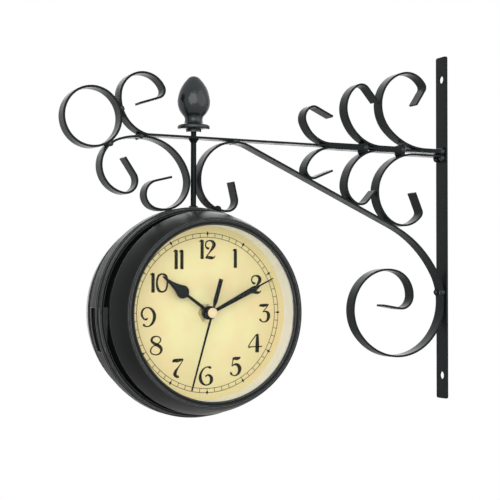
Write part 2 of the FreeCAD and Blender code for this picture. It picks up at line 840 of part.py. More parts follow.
def make_case_band():
    rib, side, bore = s.band_radius, band_side, band_bore
    edge, broken = s.edge_break, s.band_half - s.edge_break
    body = turned("case_band", [
        (bore, -s.band_half), (side - edge, -s.band_half), (side, -broken), (side, -s.band_rib_half),
        (rib, -s.band_rib_half), (rib, s.band_rib_half), (side, s.band_rib_half), (side, broken),
        (side - edge, s.band_half), (bore, s.band_half), (bore, s.web_half), (web_bore, s.web_half),
        (web_bore, -s.web_half), (bore, -s.web_half),
    ], front_placement)
    boss_top = side - s.band_wall / 2
    for name, base in (("front", s.web_half), ("rear", -s.boss_half)):
        prism(body, f"{name}_hanger_boss", [
            (-(s.boss_width / 2), web_bore + edge), (s.boss_width / 2, web_bore + edge),
            (s.boss_width / 2, boss_top), (-(s.boss_width / 2), boss_top),
        ], s.boss_half - s.web_half, base)
    # stud hole and nut pocket, cut down from the outside and up from the bore
    recess(body, "stud_hole", (ZERO, ZERO, s.stud_radius + s.thread_gap * 2),
           s.band_radius - web_bore + s.overrun * 2, -(web_bore - s.overrun), "XZ_Plane")
    half_nut = s.nut_flats / 2 + s.nut_seat_gap
    nut_half_length = s.nut_flats / math.sqrt(3) + s.nut_seat_gap
    recess(body, "nut_pocket", [
        (-nut_half_length, -half_nut), (nut_half_length, -half_nut),
        (nut_half_length, half_nut), (-nut_half_length, half_nut),
    ], s.band_radius - s.boss_depth - web_bore + s.overrun, -(web_bore - s.overrun), "XZ_Plane")
    # window: a deep pocket over the rear part, a slit that frees the tongue at the front
    low, high = s.window_rise - s.window_height, s.window_rise
    floor = web_bore + s.window_floor
    for name, first, last in (("window", -s.window_rear, s.window_front),
                              ("slit", s.window_slit_at, s.window_slit_at + s.window_slit)):
        recess(body, name, [(low, first), (high, first), (high, last), (low, last)],
               s.band_radius - floor + s.overrun, -floor, "YZ_Plane")


make_case_band()


# Face units: the same cup, lens, dial and movement on each side

def make_housing(side, placement):
    bore = neck_radius - s.neck_wall
    ledge_low = dial_back - s.ledge_thickness
    rebate = bezel_radius + s.bezel_gap
    edge = s.edge_break
    lip_height = half_depth - s.lip_from_front
    recess_height = half_depth - s.recess_from_front
    middle = (lip_radius + rim_radius) / 2 + s.shoulder_bulge
    turned(f"{side}_housing", [
        (bore, s.neck_end), (neck_radius, s.neck_end), (neck_radius, recess_height),
        (neck_radius + s.recess_top, recess_height), (lip_radius - s.shell_wall, lip_height),
        (lip_radius - edge, lip_height), (lip_radius, lip_height + edge),
        (rim_radius, half_depth - edge, middle, (half_depth + lip_height) / 2),
        (rim_radius - edge, half_depth), (rebate, half_depth),
        (rebate, lens_low), (seat_radius, lens_low), (seat_radius, dial_back),
        (bore - s.ledge_width, dial_back), (bore - s.ledge_width, ledge_low), (bore, ledge_low),
    ], placement)


def make_bezel(side, placement):
    top, edge = half_depth - s.bezel_sink, s.edge_break
    turned(f"{side}_bezel", [
        (opening_radius, lens_top), (bezel_radius, lens_top), (bezel_radius, top - edge),
        (bezel_radius - edge, top), (opening_radius + edge, top), (opening_radius, top - edge),
    ], placement)


def make_lens(side, placement):
    radius = bezel_radius - s.lens_gap
    turned(f"{side}_lens", [
        (ZERO, lens_low), (radius, lens_low), (radius, lens_top), (ZERO, lens_top)], placement)


def make_reflector(side, placement):
    turned(f"{side}_reflector", [
        (opening_radius, dial_front), (ring_radius, dial_front),
        (ring_radius, lens_low), (opening_radius, lens_low)], placement)


def make_dial(side, placement):
    hole = s.bush_radius + s.bush_gap
    turned(f"{side}_dial", [
        (hole, dial_back), (ring_radius, dial_back),
        (ring_radius, dial_front), (hole, dial_front)], placement)


def make_movement(side, placement):
    square = rounded_square(ZERO, ZERO, movement_size, movement_size, s.movement_corner)
    # rear half, with the battery bay open to the back
    case = new_body(f"{side}_movement_case", placement)
    prism(case, f"{side}_case_block", square, movement_seam - movement_back, movement_back)
    bay_width = (s.cell_radius + s.bay_gap) * 2
    bay = rounded_square(ZERO, -s.bay_offset, bay_length, bay_width, s.edge_break)
    recess(case, f"{side}_bay", bay, bay_depth + s.overrun, movement_back + bay_depth)
    recess(case, f"{side}_arbor_well", (ZERO, ZERO, s.hour_tube_radius + s.bush_gap),
           movement_seam - shaft_foot + s.bay_gap + s.overrun, movement_seam + s.overrun)
    recess(case, f"{side}_knob_hole", (ZERO, s.knob_offset, s.knob_shaft_radius + s.run_gap),
           s.knob_shaft_length + s.overrun, movement_back + s.knob_shaft_length)
    # front half, with the threaded bush that passes through the dial
    cover = new_body(f"{side}_movement_cover", placement)
    prism(cover, f"{side}_cover_block", square, s.cover_thickness, movement_seam)
    prism(cover, f"{side}_bush", (ZERO, ZERO, s.bush_radius),
          bush_top - movement_front, movement_front)
    recess(cover, f"{side}_bush_bore", (ZERO, ZERO, s.hour_tube_radius + s.run_gap),
           bush_top - movement_seam + s.overrun * 2, bush_top + s.overrun)
    turned(f"{side}_washer", [
        (s.bush_radius + s.bush_gap, movement_front), (s.washer_radius, movement_front),
        (s.washer_radius, dial_back), (s.bush_radius + s.bush_gap, dial_back)], placement)
    nut = nut_body(f"{side}_fixing_nut", s.fixing_nut_flats, s.fixing_nut_thickness,
                   s.bush_radius + s.bush_gap, placement)
    nut.Placement = placement.multiply(Placement(Vector(0, 0, dial_front.value), Rotation()))


def make_battery(side, placement):
    """An AA cell across the lower half of the movement, and the two contacts at its ends."""
    axis_height = movement_back + s.cell_radius - s.cell_proud
    lying = Placement(Vector(0, -s.bay_offset.value, axis_height.value),
                      Rotation(Vector(0, 1, 0), 90))
    half = (s.cell_length + s.cell_nub_length) / 2
    turned(f"{side}_battery", [
        (ZERO, -half), (s.cell_radius - s.edge_break, -half), (s.cell_radius, s.edge_break - half),
        (s.cell_radius, half - s.cell_nub_length - s.edge_break),
        (s.cell_radius - s.edge_break, half - s.cell_nub_length),
        (s.cell_nub_radius, half - s.cell_nub_length), (s.cell_nub_radius, half), (ZERO, half),
    ], placement.multiply(lying))
    plates = []
    for end in (1, -1):
        plate = doc.addObject("Part::Box", f"{side}_contact_{'plus' if end > 0 else 'minus'}")
        bind(plate, "Length", s.contact_thickness)
        bind(plate, "Width", s.contact_width)
        bind(plate, "Height", s.contact_height)
        inner = half + s.bay_gap / 2
        start = inner if end > 0 else -(inner + s.contact_thickness)
        corner = Vector(start.value, -s.bay_offset.value - s.contact_width.value / 2,
                        axis_height.value - s.contact_height.value / 2)
        plate.Placement = placement.multiply(Placement(corner, Rotation()))
        plates.append(plate)
    group = doc.addObject("Part::Compound", f"{side}_battery_contacts")
    group.Links = plates
    group.Label = f"{side}_battery_contacts"
    nodes[group.Label] = group


def make_knob(side, placement):
    """Grooved setting knob on the back of the movement."""
    at = placement.multiply(Placement(Vector(0, s.knob_offset.value, 0), Rotation()))
    top = movement_back - s.knob_gap
    body = turned(f"{side}_set_knob", [
        (ZERO, top - s.knob_height), (s.knob_radius - s.edge_break, top - s.knob_height),
        (s.knob_radius, top - s.knob_height + s.edge_break), (s.knob_radius, top - s.edge_break),
        (s.knob_radius - s.edge_break, top), (s.knob_shaft_radius, top),
        (s.knob_shaft_radius, movement_back + s.knob_shaft_length - s.knob_gap),
        (ZERO, movement_back + s.knob_shaft_length - s.knob_gap),
    ], at)
    groove = recess(body, f"{side}_grip", (s.knob_radius, ZERO, s.knob_radius * KNOB_GRIP_SHARE),
                    s.knob_height + s.overrun * 2, top + s.overrun)
    pattern = body.newObject("PartDesign::PolarPattern", f"{side}_grips")
    pattern.Originals = [groove]
    axis = next(item for item in body.Origin.OriginFeatures if item.Role == "Z_Axis")
    pattern.Axis = (axis, [""])
    pattern.Occurrences = KNOB_GRIPS
    body.Tip = pattern
    doc.recompute()


# Hands: drawn pointing to twelve, then turned to the time shown

def turned_to(placement, angle):
    return placement.multiply(Placement(Vector(0, 0, 0), Rotation(Vector(0, 0, 1), -angle)))


def make_shaft(label, inner, outer, top, placement):
    """Tube from inside the movement up to the top of the hand it carries."""
    turned(label, [(inner, shaft_foot), (outer, shaft_foot), (outer, top), (inner, top)], placement)


def make_hour_hand(side, placement):
    at = turned_to(placement, HOUR_ANGLE)
    low, thick, wide = hour_level, s.hand_thickness, s.hour_disc_radius
    length = opening_radius * HOUR_LENGTH_SHARE
    disc_at = length * HOUR_DISC_SHARE
    spear = length - disc_at
    root, tip = wide * HOUR_STEM_SHARES[0], wide * HOUR_STEM_SHARES[1]

    def spear_corner(shares, hand=1):
        return wide * (hand * shares[0]), disc_at + spear * shares[1]

    point = wide * HOUR_SPEAR_TIP_SHARE
    body = new_body(f"{side}_hour_hand", at)
    prism(body, f"{side}_hour_boss", (ZERO, ZERO, s.hour_boss_radius), thick, low)
    prism(body, f"{side}_hour_stem", [
        (-root, ZERO), (root, ZERO), (tip, disc_at), (-tip, disc_at)], thick, low)
    prism(body, f"{side}_hour_disc", (ZERO, disc_at, wide), thick, low)
    prism(body, f"{side}_hour_spear", [
        spear_corner(HOUR_SPEAR_ROOT_SHARES),
        spear_corner(HOUR_SPEAR_NECK_SHARES) + spear_corner(HOUR_SPEAR_CURVE_SHARES),
        (point, length), (-point, length),
        spear_corner(HOUR_SPEAR_NECK_SHARES, -1),
        spear_corner(HOUR_SPEAR_ROOT_SHARES, -1) + spear_corner(HOUR_SPEAR_CURVE_SHARES, -1),
    ], thick, low)
    recess(body, f"{side}_hour_hole", (ZERO, ZERO, s.hour_tube_radius),
           thick + s.overrun * 2, low + thick + s.overrun)
    make_shaft(f"{side}_hour_tube", s.minute_tube_radius + s.run_gap, s.hour_tube_radius,
               low + thick, at)


def make_minute_hand(side, placement):
    at = turned_to(placement, MINUTE_ANGLE)
    low, thick, half = minute_level, s.hand_thickness, s.minute_blade_width / 2
    length = opening_radius * MINUTE_LENGTH_SHARE
    root, wide_at, shoulder_at, needle_at = MINUTE_BLADE_SHARES
    shoulder, needle, point = (half * share for share in MINUTE_NEEDLE_SHARES)
    body = new_body(f"{side}_minute_hand", at)
    prism(body, f"{side}_minute_boss", (ZERO, ZERO, s.minute_boss_radius), thick, low)
    prism(body, f"{side}_minute_blade", [
        (half * root, ZERO), (half, length * wide_at), (shoulder, length * shoulder_at),
        (needle, length * needle_at), (point, length), (-point, length),
        (-needle, length * needle_at), (-shoulder, length * shoulder_at),
        (-half, length * wide_at), (-(half * root), ZERO)], thick, low)
    recess(body, f"{side}_minute_hole", (ZERO, ZERO, s.minute_tube_radius),
           thick + s.overrun * 2, low + thick + s.overrun)
    make_shaft(f"{side}_minute_tube", s.second_pin_radius + s.run_gap, s.minute_tube_radius,
               low + thick, at)


def make_second_hand(side, placement):
    at = turned_to(placement, SECOND_ANGLE)
    low, thick, half = second_level, s.second_thickness, s.second_tail_width / 2
    length = opening_radius * SECOND_LENGTH_SHARE
    tail = opening_radius * SECOND_TAIL_SHARE
    root, point = (half * share for share in SECOND_NEEDLE_SHARES)
    waist, waist_at = half * SECOND_WAIST_SHARES[0], tail * SECOND_WAIST_SHARES[1]
    swell_at, end = tail * SECOND_TAIL_SHARES[0], half * SECOND_TAIL_SHARES[1]
    body = new_body(f"{side}_second_hand", at)
    prism(body, f"{side}_second_boss", (ZERO, ZERO, s.second_boss_radius), thick, low)
    prism(body, f"{side}_second_needle", [
        (root, ZERO), (point, length), (-point, length), (-root, ZERO)], thick, low)
    prism(body, f"{side}_second_weight", [
        (waist, ZERO), (-waist, ZERO), (-waist, -waist_at), (-half, -swell_at),
        (-end, -tail), (end, -tail), (half, -swell_at), (waist, -waist_at)], thick, low)
    recess(body, f"{side}_second_hole", (ZERO, ZERO, s.second_pin_radius),
           thick + s.overrun * 2, low + thick + s.overrun)
    edge, dome, crown = CAP_DOME_SHARES
    cap_top = cap_seat + s.cap_height
    turned(f"{side}_hub_cap", [
        (ZERO, shaft_foot), (s.second_pin_radius, shaft_foot), (s.second_pin_radius, cap_seat),
        (s.cap_radius, cap_seat), (s.cap_radius, cap_seat + s.cap_height * edge),
        (s.pole_flat, cap_top, s.cap_radius * dome, cap_seat + s.cap_height * crown),
        (ZERO, cap_top)], at)


for side_name, side_placement in (("front", front_placement), ("rear", rear_placement)):
    make_housing(side_name, side_placement)
    make_bezel(side_name, side_placement)
    make_lens(side_name, side_placement)
    make_reflector(side_name, side_placement)
    make_dial(side_name, side_placement)
    make_movement(side_name, side_placement)
    make_battery(side_name, side_placement)
    make_knob(side_name, side_placement)
    make_hour_hand(side_name, side_placement)
    make_minute_hand(side_name, side_placement)
    make_second_hand(side_name, side_placement)

screw_hole = s.screw_radius + s.thread_gap
drill_along("brace_scroll", foot_placement, screw_hole,
            s.band_radius - s.overrun, foot_top + s.overrun)
drill_along("case_band", foot_placement, screw_hole,
            screw_tip - s.overrun, s.band_radius + s.overrun)


# Weld beads: short round runs across each joint between strips, cut back to the strips' faces

def touch_point(first, second):
    """The point midway where two paths come closest."""
    pairs = [(abs(p - q), p, q) for p in points_along(first, 60) for q in points_along(second, 60)]
    _, p, q = min(pairs, key=lambda pair: pair[0])
    return (p + q) / 2


def make_weld_beads():
    bead, gap = s.bead_radius.value, half_strip.value
    ring_start = ring_centre + s.ring_radius.value
    ring_legs = [Leg(ring_start, ring_start, ring_centre, math.tau)]
    top_of_leaf = upper_level + half_strip.value
    foot_of_leaf = hung_level - half_strip.value
    spots = [
        touch_point(ring_legs, arm_curl[:2]),
        touch_point(ring_legs, double_left[:2]),
        complex(weld_middle.real, under_arm + half_strip.value),
        complex(brace_top.real, under_arm + half_strip.value),
        complex(leaf_roots[0], top_of_leaf),
        complex(leaf_roots[0], lower_level - gap),
        complex(leaf_roots[1], top_of_leaf),
        complex(leaf_roots[1], lower_level - gap),
        complex(plate_front.value, top_of_leaf),
        complex(plate_front.value, foot_of_leaf),
        complex(plate_front.value, wall_curl[1].centre.imag + s.wall_weld_rise.value),
    ]
    bead_length = s.strip_width.value * BEAD_LENGTH_SHARE
    beads = [Part.makeCylinder(bead, bead_length, Vector(spot.real, -bead_length / 2, spot.imag),
                               Vector(0, 1, 0)) for spot in spots]
    rod_bead = Part.makeCone(s.rod_radius.value + bead, s.rod_radius.value, bead * FILLET_SHARE,
                             Vector(clock_x.value, 0, arm_level - half_strip.value), Vector(0, 0, -1))
    beads.append(rod_bead)
    metal = [nodes[name].Shape for name in nodes
             if name in ("arm_bar", "end_ring", "double_scroll", "brace_scroll", "hanger_rod")
             or "leaf" in name]
    behind_plate_front = Part.makeBox(
        bead * 2, s.strip_width.value * 2, s.plate_height.value,
        Vector(plate_front.value, -s.strip_width.value, -s.plate_height.value / 2))
    metal.append(behind_plate_front)
    solids = []
    for bead_solid in beads:
        for shape in metal:
            if shape.BoundBox.intersect(bead_solid.BoundBox):
                bead_solid = bead_solid.cut(shape)
        solids += [solid for solid in bead_solid.Solids if solid.Volume > (bead * CRUMB_SHARE) ** 3]
    group = doc.addObject("Part::Feature", "weld_beads")
    group.Label = "weld_beads"
    group.Shape = Part.makeCompound(solids)
    nodes["weld_beads"] = group


make_weld_beads()


# Check every object, then write one file for each node

def check_and_write():
    doc.recompute()
    for thing in doc.Objects:
        if "Invalid" in thing.State or "Error" in thing.State:
            raise RuntimeError(f"{thing.Label} failed: {thing.State}")
    for label, node in nodes.items():
        if node.Shape.isNull() or not node.Shape.isValid() or not node.Shape.Solids:
            raise RuntimeError(f"{label} has no valid solid")
    os.makedirs("parts", exist_ok=True)
    for label, node in nodes.items():
        node.Shape.exportStep(f"parts/{label}.step")
    box = FreeCAD.BoundBox()
    for node in nodes.values():
        box.add(node.Shape.BoundBox)
    print(f"{len(nodes)} nodes, X {box.XMin:.2f} to {box.XMax:.2f}, "
          f"Y {box.YMin:.2f} to {box.YMax:.2f}, Z {box.ZMin:.2f} to {box.ZMax:.2f}")


check_and_write()
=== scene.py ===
"""Looks of a double-sided wall clock on a scrolled strip-iron bracket.

Metres, in the part's own frame: the wall is the plane X = 0, the arm reaches out along -X,
the two dials face -Y (front) and +Y (rear), and +Z is up.
"""

import json
import math

import bmesh
import bpy
from mathutils import Matrix, Vector, noise


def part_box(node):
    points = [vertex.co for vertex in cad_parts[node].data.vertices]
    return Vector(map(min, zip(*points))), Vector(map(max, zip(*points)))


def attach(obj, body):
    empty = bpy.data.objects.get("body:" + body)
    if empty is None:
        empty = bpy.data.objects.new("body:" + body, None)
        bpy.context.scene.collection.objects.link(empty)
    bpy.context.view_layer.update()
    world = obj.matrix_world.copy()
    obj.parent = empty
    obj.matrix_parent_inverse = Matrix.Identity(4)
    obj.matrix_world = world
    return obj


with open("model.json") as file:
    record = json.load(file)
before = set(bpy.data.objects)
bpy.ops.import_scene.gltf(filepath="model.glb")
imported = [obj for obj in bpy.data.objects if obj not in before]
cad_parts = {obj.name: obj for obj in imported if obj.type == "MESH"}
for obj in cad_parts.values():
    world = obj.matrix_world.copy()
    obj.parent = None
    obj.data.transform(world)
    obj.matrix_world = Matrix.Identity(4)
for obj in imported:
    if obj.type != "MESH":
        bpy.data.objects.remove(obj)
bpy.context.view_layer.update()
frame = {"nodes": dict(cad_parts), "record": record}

MM = 0.001

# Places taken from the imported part

dial_low, dial_high = (Vector(corner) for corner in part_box("front_dial"))
CLOCK_X = (dial_low.x + dial_high.x) / 2
CLOCK_Z = (dial_low.z + dial_high.z) / 2
DIAL_FRONT = -dial_low.y


# Helpers for nodes, colours and pieces

def linear(colour):
    """An sRGB hex colour as the linear numbers that a socket takes."""
    channels = [int(colour[at:at + 2], 16) / 255 for at in (1, 3, 5)]
    curve = [c / 12.92 if c <= 0.04045 else ((c + 0.055) / 1.055) ** 2.4 for c in channels]
    return (*curve, 1.0)


def per_size(millimetres):
    """Texture scale at which one feature is this many millimetres across."""
    return 1.0 / (millimetres * MM)


def add(tree, kind, values=None, links=None, **settings):
    """Add one node: settings are its properties, values its inputs, links the sockets that feed it."""
    made = tree.nodes.new(kind)
    for name, value in settings.items():
        setattr(made, name, value)
    for name, value in (values or {}).items():
        made.inputs[name].default_value = value
    for name, socket in (links or {}).items():
        tree.links.new(socket, made.inputs[name])
    return made


def new_finish(name, **values):
    """A material with a principled shader; values are its constant sockets."""
    finish = bpy.data.materials.new(name)
    finish.use_nodes = True
    tree = finish.node_tree
    tree.nodes.clear()
    shader = add(tree, "ShaderNodeBsdfPrincipled", values)
    add(tree, "ShaderNodeOutputMaterial", links={"Surface": shader.outputs[0]})
    place = add(tree, "ShaderNodeTexCoord").outputs["Object"]
    return finish, tree, shader, place


def new_piece(name, mesh, finish):
    """Put a finished bmesh into the scene as one piece."""
    data = bpy.data.meshes.new(name)
    mesh.to_mesh(data)
    mesh.free()
    data.materials.append(finish)
    piece = bpy.data.objects.new(name, data)
    bpy.context.scene.collection.objects.link(piece)
    return piece


# Finishes

SOFT_DETAIL = 3.0
# The values between which most of a noise pattern lies
NOISE_LOW = 0.3
NOISE_HIGH = 0.7
PAINT_IOR = 1.5
PAINT_BUMP = 0.6
# Cosine of the turn from a face's normal to the rounded one, where an arris starts and where it is full
ARRIS_START = 0.995
ARRIS_FULL = 0.86
ARRIS_SAMPLES = 6


def black_paint(name, deep, thin, edge_wear_and_highlight, roughness, pool_mm, grain_mm, grain_depth_mm, edge_mm, specular):
    """Black paint: colour and sheen drift where it pooled, edges are rounded and paler, a painted
    highlight along each arris with a little rubbed paint.
    """
    finish, tree, shader, place = new_finish(
        name, **{"IOR": PAINT_IOR, "Specular IOR Level": specular})
    pool = add(tree, "ShaderNodeTexNoise", {"Scale": per_size(pool_mm), "Detail": SOFT_DETAIL},
               {"Vector": place})
    grain = add(tree, "ShaderNodeTexNoise", {"Scale": per_size(grain_mm), "Detail": SOFT_DETAIL},
                {"Vector": place})
    rounded = add(tree, "ShaderNodeBevel", {"Radius": edge_mm * MM}, samples=ARRIS_SAMPLES)
    face = add(tree, "ShaderNodeNewGeometry")
    turn = add(tree, "ShaderNodeVectorMath",
               links={0: rounded.outputs[0], 1: face.outputs["Normal"]}, operation="DOT_PRODUCT")
    edge = add(tree, "ShaderNodeMapRange", {"From Min": ARRIS_START, "From Max": ARRIS_FULL},
               {"Value": turn.outputs["Value"]})
    body = add(tree, "ShaderNodeMix", {6: linear(deep), 7: linear(thin)},
               {0: pool.outputs["Fac"]}, data_type="RGBA")
    # painted highlight: each arris is mixed towards a pale colour, as light catching the edge, with a
    # little rubbed paint
    with_edge_wear_and_highlight = add(tree, "ShaderNodeMix", {7: linear(edge_wear_and_highlight)},
                 {0: edge.outputs[0], 6: body.outputs[2]}, data_type="RGBA")
    sheen = add(tree, "ShaderNodeMapRange",
                {"From Min": NOISE_LOW, "From Max": NOISE_HIGH,
                 "To Min": roughness[0], "To Max": roughness[1]}, {"Value": pool.outputs["Fac"]})
    bump = add(tree, "ShaderNodeBump", {"Strength": PAINT_BUMP, "Distance": grain_depth_mm * MM},
               {"Height": grain.outputs["Fac"], "Normal": rounded.outputs[0]})
    tree.links.new(with_edge_wear_and_highlight.outputs[2], shader.inputs["Base Color"])
    tree.links.new(sheen.outputs[0], shader.inputs["Roughness"])
    tree.links.new(bump.outputs[0], shader.inputs["Normal"])
    return finish


def satin_enamel_on_strip_iron():
    # Enamel sprayed on bent strip: near black, soft wide highlights, a faint grain, and arrises paler
    # from a painted highlight with a little rubbed paint
    return black_paint("satin_enamel_on_strip_iron", "#0B1011", "#141A1B", "#262E30", (0.28, 0.4),
                       pool_mm=9.0, grain_mm=0.9, grain_depth_mm=0.03, edge_mm=0.3, specular=0.08)


def gloss_enamel_on_cast_bud():
    # Thicker enamel on an uneven casting: bright highlights that break up round the bud; its edges
    # carry a faint painted highlight
    return black_paint("gloss_enamel_on_cast_bud", "#0E1315", "#1E2527", "#2E3638", (0.15, 0.26),
                       pool_mm=5.0, grain_mm=4.5, grain_depth_mm=0.5, edge_mm=0.3, specular=0.45)


def enamel_over_weld():
    # The same enamel over a rough weld: small broken glints on a lump, with a faint painted highlight
    # where it turns sharply
    return black_paint("enamel_over_weld", "#0E1415", "#1C2526", "#2A3335", (0.2, 0.36),
                       pool_mm=2.0, grain_mm=1.2, grain_depth_mm=0.15, edge_mm=0.3, specular=0.3)


def stoved_paint_on_spun_steel():
    # Stoved paint on spun sheet: an even satin black whose highlights follow the turned form, with pale
    # painted highlights drawn along its edges and rims
    return black_paint("stoved_paint_on_spun_steel", "#101211", "#191B1A", "#8A8D8C", (0.3, 0.42),
                       pool_mm=16.0, grain_mm=0.7, grain_depth_mm=0.02, edge_mm=0.6, specular=0.07)


def lacquer_on_stamped_hand():
    # Matt lacquer on stamped sheet: dead black with a slight drift, no clear highlight but a faint
    # painted one along the edges
    return black_paint("lacquer_on_stamped_hand", "#101213", "#191B1D", "#202224", (0.5, 0.62),
                       pool_mm=4.0, grain_mm=0.6, grain_depth_mm=0.01, edge_mm=0.2, specular=0.1)


CARD_MIDDLE = "#EEE6AB"
CARD_RIM = "#E0D29A"
CARD_STAIN = "#EBCF9C"
CARD_SPECK = "#D3C287"
CARD_IOR = 1.45
CARD_ROUGHNESS = 0.62
# The card darkens from one radius to the other, and blotches shift those radii
CARD_AGE_START = 24.0 * MM
CARD_AGE_FULL = 64.0 * MM
CARD_AGE_SHIFT = 16.0 * MM
CARD_BLOTCH_MM = 11.0
CARD_BLOTCH_DETAIL = 4.0
CARD_STAIN_MM = 17.0
CARD_STAIN_DETAIL = 2.0
# Paper fibres are far finer than a pixel, so the tooth is drawn coarser
CARD_FIBRE_MM = 0.8
CARD_FIBRE_DEPTH = 0.02 * MM
CARD_FIBRE_BUMP = 0.3
# From which to which noise value a stain or a speck comes in, and how much of the card it then covers
STAIN_COVER = (0.48, 0.7, 0.55)
SPECK_COVER = (0.55, 0.75, 0.25)


def printed_card_dial():
    # Cream card printed to look aged: warm middle, tan towards the rim, soft mottling, paper tooth
    finish, tree, shader, place = new_finish(
        "printed_card_dial", **{"Roughness": CARD_ROUGHNESS, "IOR": CARD_IOR})
    axle = add(tree, "ShaderNodeVectorMath", {1: (-CLOCK_X, 0.0, -CLOCK_Z)}, {0: place},
               operation="ADD")
    flat = add(tree, "ShaderNodeVectorMath", {1: (1.0, 0.0, 1.0)}, {0: axle.outputs[0]},
               operation="MULTIPLY")
    reach = add(tree, "ShaderNodeVectorMath", links={0: flat.outputs[0]}, operation="LENGTH")
    blotch = add(tree, "ShaderNodeTexNoise",
                 {"Scale": per_size(CARD_BLOTCH_MM), "Detail": CARD_BLOTCH_DETAIL}, {"Vector": place})
    drift = add(tree, "ShaderNodeMath", {1: CARD_AGE_SHIFT}, {0: blotch.outputs["Fac"]},
                operation="MULTIPLY")
    aged = add(tree, "ShaderNodeMath", links={0: reach.outputs["Value"], 1: drift.outputs[0]})
    tone = add(tree, "ShaderNodeMapRange", {"From Min": CARD_AGE_START, "From Max": CARD_AGE_FULL},
               {"Value": aged.outputs[0]}, interpolation_type="SMOOTHSTEP")
    card = add(tree, "ShaderNodeMix", {6: linear(CARD_MIDDLE), 7: linear(CARD_RIM)},
               {0: tone.outputs[0]}, data_type="RGBA")
    patch = add(tree, "ShaderNodeTexNoise",
                {"Scale": per_size(CARD_STAIN_MM), "Detail": CARD_STAIN_DETAIL}, {"Vector": place})
    fibre = add(tree, "ShaderNodeTexNoise",
                {"Scale": per_size(CARD_FIBRE_MM), "Detail": SOFT_DETAIL}, {"Vector": place})
    for pattern, colour, (low, high, most) in ((patch, CARD_STAIN, STAIN_COVER),
                                               (fibre, CARD_SPECK, SPECK_COVER)):
        amount = add(tree, "ShaderNodeMapRange", {"From Min": low, "From Max": high, "To Max": most},
                     {"Value": pattern.outputs["Fac"]})
        card = add(tree, "ShaderNodeMix", {7: linear(colour)},
                   {0: amount.outputs[0], 6: card.outputs[2]}, data_type="RGBA")
    bump = add(tree, "ShaderNodeBump", {"Strength": CARD_FIBRE_BUMP, "Distance": CARD_FIBRE_DEPTH},
               {"Height": fibre.outputs["Fac"]})
    tree.links.new(card.outputs[2], shader.inputs["Base Color"])
    tree.links.new(bump.outputs[0], shader.inputs["Normal"])
    return finish


INK_COVER_MM = 2.5


def screen_ink():
    # Screen ink on card: flat brown-black whose cover thins a little in patches
    finish, tree, shader, place = new_finish(
        "screen_ink", **{"Roughness": 0.65, "IOR": PAINT_IOR, "Specular IOR Level": 0.1})
    cover = add(tree, "ShaderNodeTexNoise",
                {"Scale": per_size(INK_COVER_MM), "Detail": SOFT_DETAIL}, {"Vector": place})
    ink = add(tree, "ShaderNodeMix", {6: linear("#1B1912"), 7: linear("#2C2A1F")},
              {0: cover.outputs["Fac"]}, data_type="RGBA")
    tree.links.new(ink.outputs[2], shader.inputs["Base Color"])
    return finish


GLASS_WASH_MM = 60.0


def float_glass_lens():
    # Clear flat glass: hardly seen face on, a faint cool film with a clean mirror highlight
    finish, tree, shader, place = new_finish(
        "float_glass_lens", **{"Roughness": 0.02, "IOR": 1.52, "Alpha": 0.05})
    wash = add(tree, "ShaderNodeTexNoise",
               {"Scale": per_size(GLASS_WASH_MM), "Detail": SOFT_DETAIL}, {"Vector": place})
    tint = add(tree, "ShaderNodeMix", {6: linear("#20302C"), 7: linear("#2C3A37")},
               {0: wash.outputs["Fac"]}, data_type="RGBA")
    tree.links.new(tint.outputs[2], shader.inputs["Base Color"])
    return finish


MOULD_DRIFT_MM = 8.0
MOULD_BUMP = 0.5


def moulded(name, dark, light, roughness, grain_mm, grain_depth_mm, **values):
    """Moulded plastic or rubber: a slight drift of colour and a fine texture from the mould."""
    finish, tree, shader, place = new_finish(name, **{"Roughness": roughness, **values})
    drift = add(tree, "ShaderNodeTexNoise",
                {"Scale": per_size(MOULD_DRIFT_MM), "Detail": SOFT_DETAIL}, {"Vector": place})
    colour = add(tree, "ShaderNodeMix", {6: linear(dark), 7: linear(light)},
                 {0: drift.outputs["Fac"]}, data_type="RGBA")
    grain = add(tree, "ShaderNodeTexNoise",
                {"Scale": per_size(grain_mm), "Detail": SOFT_DETAIL}, {"Vector": place})
    bump = add(tree, "ShaderNodeBump", {"Strength": MOULD_BUMP, "Distance": grain_depth_mm * MM},
               {"Height": grain.outputs["Fac"]})
    tree.links.new(colour.outputs[2], shader.inputs["Base Color"])
    tree.links.new(bump.outputs[0], shader.inputs["Normal"])
    return finish


def moulded_white_styrene():
    # White polystyrene ring: clean, slightly warm, soft gloss
    return moulded("moulded_white_styrene", "#F6F6F0", "#FEFEFA", roughness=0.4,
                   grain_mm=1.2, grain_depth_mm=0.01, IOR=1.59)


def moulded_cream_cap():
    # Small polished plastic cap: warm cream with a clear round highlight
    return moulded("moulded_cream_cap", "#EBCFA4", "#F4E0B4", roughness=0.3,
                   grain_mm=0.8, grain_depth_mm=0.005, IOR=1.49)


def moulded_black_abs():
    # Black ABS with a spark-eroded mould texture: dull charcoal, fine grain
    return moulded("moulded_black_abs", "#1A1B1D", "#242628", roughness=0.5,
                   grain_mm=0.5, grain_depth_mm=0.03, IOR=1.53)


def rubber_washer():
    # Soft rubber: dead dark grey
    return moulded("rubber_washer", "#1B1B1B", "#262626", roughness=0.8,
                   grain_mm=0.4, grain_depth_mm=0.02, IOR=1.52)


def printed_cell_jacket():
    # Shrunk plastic sleeve over a steel can: plain deep blue with a soft gloss
    return moulded("printed_cell_jacket", "#1F3B63", "#29507F", roughness=0.28,
                   grain_mm=3.0, grain_depth_mm=0.02, IOR=1.5)


# Tool lines are drawn out along X and Z, across the axis that they run round
TOOL_LINE_STRETCH = (0.06, 1.0, 0.06)


